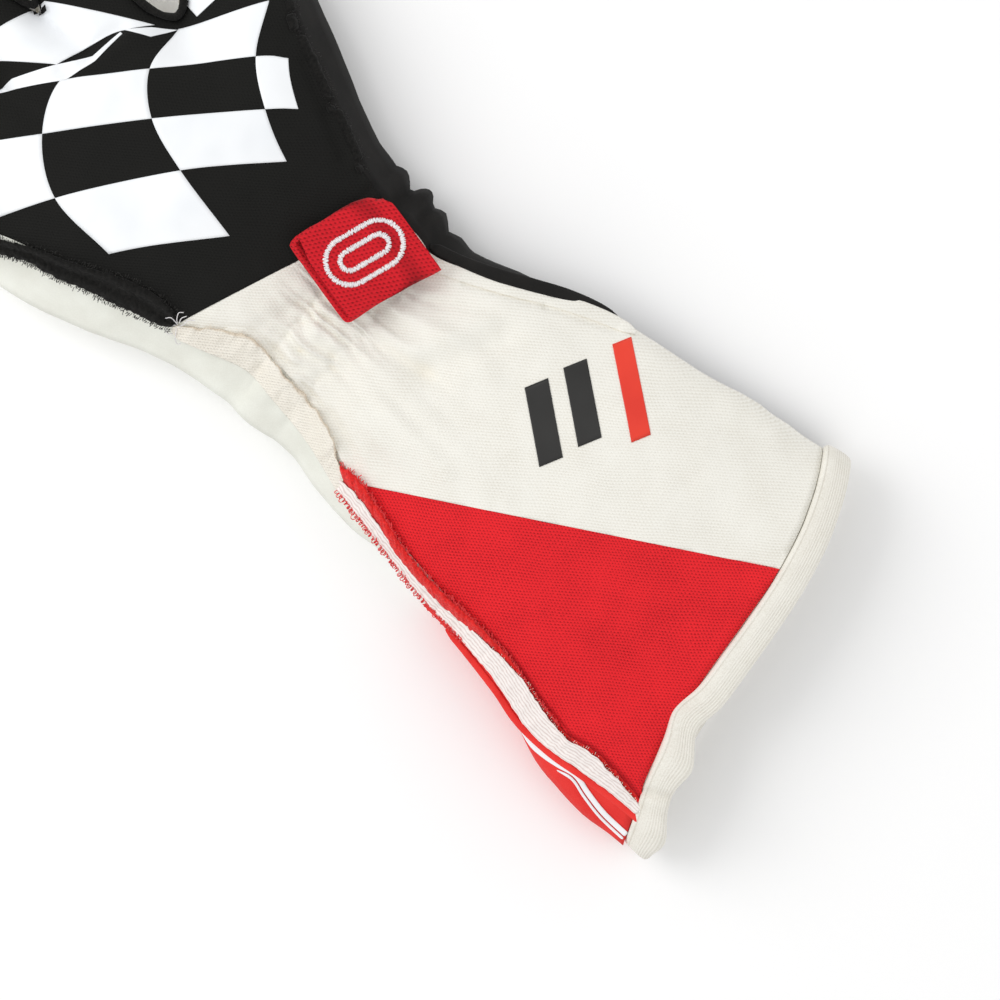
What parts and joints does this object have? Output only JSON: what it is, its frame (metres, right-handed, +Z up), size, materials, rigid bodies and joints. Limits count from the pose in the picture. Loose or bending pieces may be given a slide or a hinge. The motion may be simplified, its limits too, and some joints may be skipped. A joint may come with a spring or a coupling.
{
  "type": "left-hand racing glove",
  "caption": "Left-hand racing glove lying palm down, with a flared cuff, outside seams and a webbing tab at the wrist.",
  "frame": {"origin": "centre of the bounding box, on the surface that the glove lies on", "axes": "+Y from the cuff to the fingertips, +X towards the thumb, +Z up from the palm to the back of the hand"},
  "size_m": [0.144, 0.3406, 0.0322],
  "materials": {
    "black_knit": "fine black knit",
    "cream_knit": "fine cream knit",
    "red_knit": "fine red knit",
    "black_suede": "black suede",
    "cream_suede": "cream suede",
    "red_suede": "red suede",
    "ribbed_tape": "ribbed cream tape",
    "red_webbing": "knitted red webbing"
  },
  "bodies": {
    "root": {"back_panel": "black_knit", "cuff_back": "cream_knit", "cuff_wedge": "red_knit", "palm_panel": "black_suede", "side_panel": "cream_suede", "side_wedge": "red_suede", "gusset_little_ring": "cream_knit", "gusset_ring_middle": "cream_knit", "gusset_middle_index": "cream_knit", "gusset_index_thumb": "cream_knit", "hand_seam": "black_knit", "wrist_seam": "cream_knit", "cuff_seam_outer": "red_suede", "cuff_seam_lining": "cream_knit", "cuff_seam_inner": "red_knit", "radial_cuff_seam": "cream_knit", "radial_hand_seam": "black_knit", "seam_little_ring": "black_knit", "seam_ring_middle": "black_knit", "seam_middle_index": "black_knit", "seam_index_thumb": "black_knit", "cuff_binding": "ribbed_tape", "wrist_tab": "red_webbing"}
  },
  "joints": []
}
